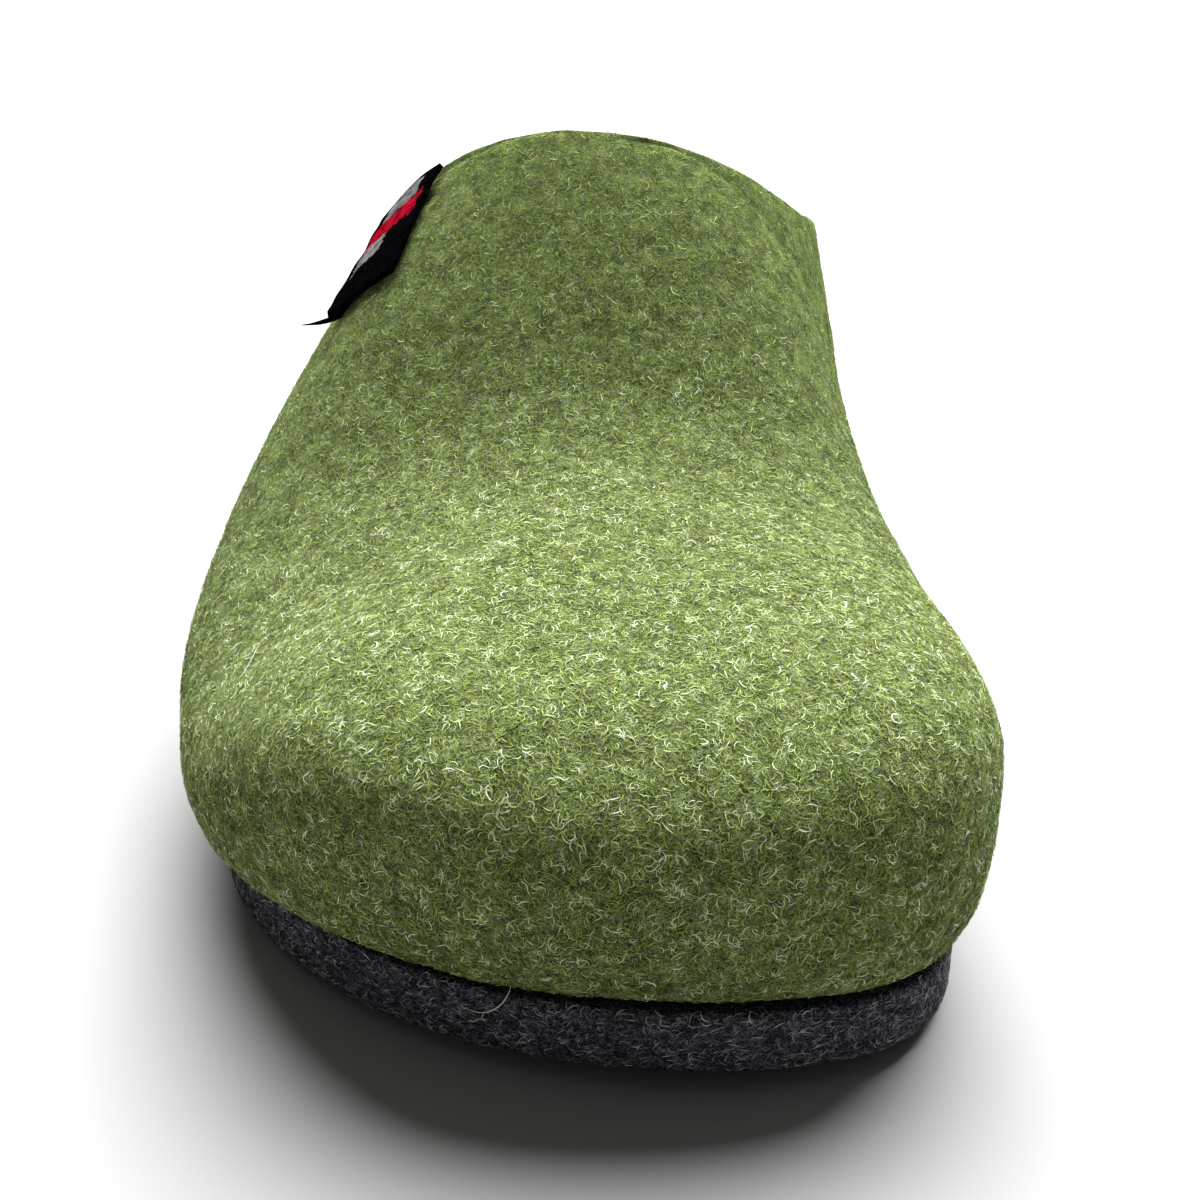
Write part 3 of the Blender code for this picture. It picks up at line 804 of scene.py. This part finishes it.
class SLIPPER_OT_nap(bpy.types.Operator):
    """Scatters curled fibres over the outside of the upper, zone by zone."""

    bl_idname = "slipper.nap"
    bl_label = "Nap"

    def execute(self, context):
        felt = context.scene.slipper_felt
        nap = context.scene.slipper_nap
        store = fibre_set("curl", nap, NAP_FORMS)
        # The darkest fibres take shadow green, which is partly painted shade.
        tones = ((0.0, felt.shadow), (0.25, felt.body), (0.38, felt.khaki), (0.50, felt.body),
                 (0.70, felt.bright), (0.92, felt.pale))
        material = fibre_material("green fibres", tones)
        skin = bpy.data.objects["upper_felt"]
        low, high = UPPER_LOW.y, UPPER_HIGH.y
        length = high - low
        margin = UPPER_AXIS_MARGIN * length
        start = low - length
        for i, (zone, stop) in enumerate(NAP_ZONES):
            end = low + length * stop
            for side, word in ((1, "inner"), (-1, "outer")):
                piece = scatter(
                    skin, f"nap_{zone}_{word}", store, material, start=start,
                    end=end + (length if stop == 1.0 else 0.0), side=side,
                    thick=nap.thick, thin=nap.thin, thick_end=NAP_THICK_TO,
                    thin_start=NAP_THIN_FROM, seed=nap.seed + 10 * i + (side > 0),
                    axis_ends=(low + margin, high - margin),
                    axis_height=UPPER_AXIS_HEIGHT * UPPER_HIGH.z,
                    steepest_down=UPPER_STEEPEST, smallest=0.7, largest=1.35, tilt=0.25,
                    spin=math.pi, patch=felt.curl * 2.4, patchy=0.45, calm=nap.calm)
                place(piece, "felt_green")
            start = end
        return {"FINISHED"}


class SLIPPER_OT_sole_nap(bpy.types.Operator):
    """Scatters short grey fibres over the side of the sole."""

    bl_idname = "slipper.sole_nap"
    bl_label = "Sole fibres"

    def execute(self, context):
        sole = context.scene.slipper_sole
        nap = context.scene.slipper_nap
        store = fibre_set("sole_curl", nap, SOLE_FORMS)
        tones = ((0.0, sole.dark), (0.4, sole.middle), (0.65, sole.light), (0.95, sole.pale))
        material = fibre_material("grey fibres", tones)
        skin = bpy.data.objects["sole_felt"]
        low, high = SOLE_LOW.y, SOLE_HIGH.y
        length = high - low
        piece = scatter(
            skin, "sole_nap", store, material, start=low - length, end=high + length, side=0.0,
            thick=nap.sole_thick, thin=nap.sole_thin, thick_end=low + SOLE_THICK_TO * length,
            thin_start=low + SOLE_THIN_FROM * length, seed=nap.seed + 60,
            axis_ends=(low + SOLE_AXIS_TOE_MARGIN * length,
                       high - SOLE_AXIS_HEEL_MARGIN * length),
            axis_height=SOLE_AXIS_HEIGHT, steepest_down=SOLE_STEEPEST, smallest=0.6,
            largest=1.2, tilt=0.2, spin=0.6, patch=0.002, patchy=0.3, calm=1.0)
        place(piece, "felt_charcoal")
        return {"FINISHED"}


class SLIPPER_OT_hairs(bpy.types.Operator):
    """Lays a few loose pale hairs on the felt at listed spots."""

    bl_idname = "slipper.hairs"
    bl_label = "Loose hairs"

    def execute(self, context):
        nap = context.scene.slipper_nap
        upper, sole = felt_tree("upper"), felt_tree("outsole")
        forms = {}
        for name, (step, steps, turn, rise, roll) in HAIR_FORMS.items():
            forms[name] = make_fibre(f"hair_{name}", step / 1000, nap.hair_width, steps,
                                     math.radians(turn), rise, roll)
        pieces = []
        for i, (name, x, y, z, turn) in enumerate(HAIRS):
            spot = Vector((x, y, z)) / 1000
            felt = upper if spot.z > SOLE_HIGH.z else sole
            near, normal, _, _ = felt.find_nearest(spot)
            back = Vector((0, 1, 0)) if abs(normal.y) < 0.8 else Vector((0, 0, 1))
            slant = math.radians(turn)
            right = back.cross(normal).normalized()
            heading = back * math.cos(slant) + right * math.sin(slant)
            pieces.append(moved_copy(forms[name], f"hair_{i}", near + normal * nap.hair_height,
                                     normal, heading))
        for form in forms.values():
            bpy.data.objects.remove(form)
        hairs = join(pieces, "loose_hairs")
        material, shader, _ = new_material("pale wool", roughness=0.8)
        shader.inputs["Base Color"].default_value = opaque(nap.hair)
        hairs.data.materials.append(material)
        place(hairs, "felt_green")
        return {"FINISHED"}


class SLIPPER_OT_label(bpy.types.Operator):
    """Makes the woven tab with its plain bars."""

    bl_idname = "slipper.label"
    bl_label = "Tab"

    def execute(self, context):
        label = context.scene.slipper_label
        tab = merged_copy("label", "woven_tab")
        self.map_bars(tab)
        self.press(tab, label.press)
        self.hold_rim(tab)
        subdivide(tab, 2)
        apply_modifiers(tab)
        tab = join([tab, self.tail(tab, label)], "woven_tab")
        tab.data.shade_smooth()
        tab.data.materials.append(self.weave(label))
        place(tab, "woven_black", "label")
        return {"FINISHED"}

    def map_bars(self, tab):
        """A map whose width runs from the collar forward and whose height runs down."""
        points = np.array([vertex.co for vertex in tab.data.vertices])
        _, y, z = points.T
        # Each corner of the leaning tab is the point that lies furthest its own way.
        top_back = points[np.argmax(z + y)]
        top_front = points[np.argmax(z - y * 1.5)]
        low_back = points[np.argmax(y * 2.5 - z)]
        low_front = points[np.argmin(z + y * 0.5)]
        ahead = ((top_front - top_back) + (low_front - low_back)) / 2
        down = ((low_back - top_back) + (low_front - top_front)) / 2
        shares = np.linalg.lstsq(np.column_stack([ahead, down]), (points - top_back).T,
                                 rcond=None)[0].T
        layer = tab.data.uv_layers.new(name=UV_MAP)
        corners = np.array([loop.vertex_index for loop in tab.data.loops])
        layer.data.foreach_set("uv", np.clip(shares[corners], 0, 1).ravel())

    def tail(self, tab, label):
        """The thin curled thread end at the tab's lower front corner."""
        form = make_fibre("tail", label.tail_step, label.tail_width, THREAD_STEPS,
                          math.radians(-5), 0.2, 1.2)
        points = np.array([vertex.co for vertex in tab.data.vertices])
        spot = Vector(points[np.argmin(points[:, 2] + points[:, 1] * 0.5)])
        tail = moved_copy(form, "thread_end", spot, THREAD_OUTWARD.normalized(),
                          THREAD_HEADING.normalized())
        bpy.data.objects.remove(form)
        layer = tail.data.uv_layers.active
        layer.name = UV_MAP
        layer.data.foreach_set("uv", [1.0, 0.5] * len(tail.data.loops))
        return tail

    def press(self, tab, height):
        """Lays the lifted corner back on the felt, most at its tip."""
        felt = felt_tree("upper")
        shares = {}
        layer = tab.data.uv_layers[UV_MAP].data
        for loop in tab.data.loops:
            shares[loop.vertex_index] = layer[loop.index].uv.copy()
        for vertex in tab.data.vertices:
            ahead, down = shares[vertex.index]
            normal = felt.find_nearest(vertex.co)[1]
            vertex.co -= normal * height * (ahead * down) ** 4

    def hold_rim(self, tab):
        """Keeps the rim sharp when the tab is made finer."""
        take(tab)
        bpy.ops.object.mode_set(mode="EDIT")
        bpy.ops.mesh.select_all(action="DESELECT")
        bpy.ops.mesh.select_mode(type="EDGE")
        bpy.ops.mesh.edges_select_sharp(sharpness=math.radians(50))
        bpy.ops.transform.edge_crease(value=0.8)
        bpy.ops.object.mode_set(mode="OBJECT")

    def weave(self, label):
        """Black ground with a grey, a red and a grey bar that run down the tab, with painted
        shade and highlight on the threads and streaks of painted sheen.
        """
        material, shader, nodes = new_material("woven tab", gloss=0.0)
        spot = nodes.add("ShaderNodeUVMap", uv_map=UV_MAP).outputs["UV"]
        parts = nodes.add("ShaderNodeSeparateXYZ", {"Vector": spot})
        ragged = nodes.noise(spot, 0.05, 3.0, 0.5)
        ragged = nodes.spread(ragged, 0.25, 0.75, -0.035, 0.035)
        across = nodes.math("ADD", parts.outputs["X"], ragged)
        down = nodes.math("ADD", parts.outputs["Y"], ragged)
        tone = label.ground
        height = 0.0
        for bar, start, end, high, low in TAB_BARS:
            here = nodes.math("MULTIPLY", nodes.math("GREATER_THAN", across, start),
                              nodes.math("LESS_THAN", across, end))
            for test, stop in (("GREATER_THAN", high), ("LESS_THAN", low)):
                here = nodes.math("MULTIPLY", here, nodes.math(test, down, stop))
            tone = nodes.mix(here, tone, getattr(label, bar))
            height = nodes.math("ADD", height, here)
        threads = nodes.add("ShaderNodeTexWave", {"Vector": spot, "Scale": 14.0,
                                                  "Distortion": 1.5, "Detail": 2.0},
                            bands_direction="Y").outputs["Fac"]
        warp = nodes.add("ShaderNodeTexWave", {"Vector": spot, "Scale": 18.0,
                                               "Distortion": 1.0, "Detail": 1.0},
                         bands_direction="X").outputs["Fac"]
        # The weave darkens the tone between the threads and lightens it on them: painted shade
        # and highlight of the thread relief, on top of its bump.
        weave = nodes.math("MULTIPLY", threads, warp)
        shade = nodes.spread(weave, 0.0, 0.8, 0.55, 1.15)
        # Streaks of painted sheen, running down the tab, make it lighter and darker.
        painted_sheen = nodes.noise(nodes.shifted(spot, (0.0, 0.0, 0.0), (5.0, 1.0, 1.0)), 0.16, 3.0)
        shade = nodes.math("MULTIPLY", shade, nodes.spread(painted_sheen, 0.32, 0.62, 0.35, 1.5))
        nodes.finish(shader, nodes.shade(tone, shade), nodes.math("ADD", height, weave),
                     TAB_RELIEF)
        return material


def camera_turn(stage):
    """The camera's own axes: to its right, upwards, and back from what it looks at."""
    turn, high = stage.azimuth, stage.elevation
    back = Vector((math.sin(turn) * math.cos(high), -math.cos(turn) * math.cos(high),
                   math.sin(high)))
    right = Vector((math.cos(turn), math.sin(turn), 0))
    up = back.cross(right)
    rolled = right * math.cos(stage.roll) + up * math.sin(stage.roll)
    return rolled, back.cross(rolled), back


def broad_light(name, spot, spread, strength):
    """A far, wide and soft light that shines from a spot towards the slipper."""
    data = bpy.data.lights.new(name, "SUN")
    data.angle = spread
    data.energy = strength
    lamp = bpy.data.objects.new(name, data)
    lamp.location = spot
    lamp.rotation_euler = (spot - CAMERA_TARGET).to_track_quat("Z", "Y").to_euler()
    bpy.context.scene.collection.objects.link(lamp)


class SLIPPER_OT_stage(bpy.types.Operator):
    """Makes the floor, the camera and the light."""

    bl_idname = "slipper.stage"
    bl_label = "Studio"

    def execute(self, context):
        stage = context.scene.slipper_stage
        take(None)
        bpy.ops.mesh.primitive_plane_add(size=FLOOR_SIZE, location=(0, 0, 0))
        floor = context.object
        floor.name = "floor"
        material = bpy.data.materials.new("pale floor")
        material.use_nodes = True
        shader = material.node_tree.nodes["Principled BSDF"]
        shader.inputs["Base Color"].default_value = (*[stage.floor] * 3, 1)
        shader.inputs["Roughness"].default_value = 0.9
        floor.data.materials.append(material)
        right, up, back = camera_turn(stage)
        data = bpy.data.cameras.new("camera")
        data.lens = stage.lens
        data.sensor_width = 36.0
        data.clip_start = 0.01
        camera = bpy.data.objects.new("camera", data)
        turn = Matrix((right, up, back)).transposed().to_4x4()
        camera.matrix_world = Matrix.Translation(CAMERA_TARGET + back * stage.distance) @ turn
        context.scene.collection.objects.link(camera)
        context.scene.camera = camera
        broad_light("key", LIGHT_SPOT, stage.spread, stage.key)
        # The camera sees a white backdrop, and the slipper stands in a dim surround.
        world = bpy.data.worlds.new("surround")
        world.use_nodes = True
        nodes = Nodes(world.node_tree)
        dim = world.node_tree.nodes["Background"]
        dim.inputs["Color"].default_value = (1.0, 1.0, 1.0, 1.0)
        dim.inputs["Strength"].default_value = stage.sky
        white = nodes.add("ShaderNodeBackground", {"Color": (1.0, 1.0, 1.0, 1.0)})
        seen = nodes.add("ShaderNodeLightPath").outputs["Is Camera Ray"]
        both = nodes.add("ShaderNodeMixShader", {0: seen, 1: dim.outputs[0],
                                                 2: white.outputs[0]})
        surround = world.node_tree.nodes["World Output"]
        world.node_tree.links.new(both.outputs[0], surround.inputs["Surface"])
        context.scene.world = world
        context.scene.view_settings.view_transform = "Standard"
        return {"FINISHED"}


class SLIPPER_PT_panel(bpy.types.Panel):
    """Lists what dresses the slipper."""

    bl_label = "Felt Slipper"
    bl_idname = "SLIPPER_PT_panel"
    bl_space_type = "VIEW_3D"
    bl_region_type = "UI"
    bl_category = "Slipper"

    def draw(self, context):
        for name in SETTINGS:
            group = getattr(context.scene, name)
            box = self.layout.box()
            for key in group.__annotations__:
                box.prop(group, key)
        for operator in OPERATORS:
            self.layout.operator(operator.bl_idname)


SETTINGS = {
    "slipper_felt": SlipperFelt,
    "slipper_nap": SlipperNap,
    "slipper_sole": SlipperSole,
    "slipper_label": SlipperLabel,
    "slipper_stage": SlipperStage,
}
OPERATORS = (SLIPPER_OT_upper, SLIPPER_OT_outsole, SLIPPER_OT_insole, SLIPPER_OT_label,
             SLIPPER_OT_nap, SLIPPER_OT_sole_nap, SLIPPER_OT_hairs, SLIPPER_OT_stage)


def register():
    for kind in (*SETTINGS.values(), *OPERATORS, SLIPPER_PT_panel):
        bpy.utils.register_class(kind)
    for name, kind in SETTINGS.items():
        setattr(bpy.types.Scene, name, PointerProperty(type=kind))


def unregister():
    for name in SETTINGS:
        delattr(bpy.types.Scene, name)
    for kind in reversed((*SETTINGS.values(), *OPERATORS, SLIPPER_PT_panel)):
        bpy.utils.unregister_class(kind)


def main():
    register()
    for operator in OPERATORS:
        group, name = operator.bl_idname.split(".")
        getattr(getattr(bpy.ops, group), name)()


if __name__ == "__main__":
    main()
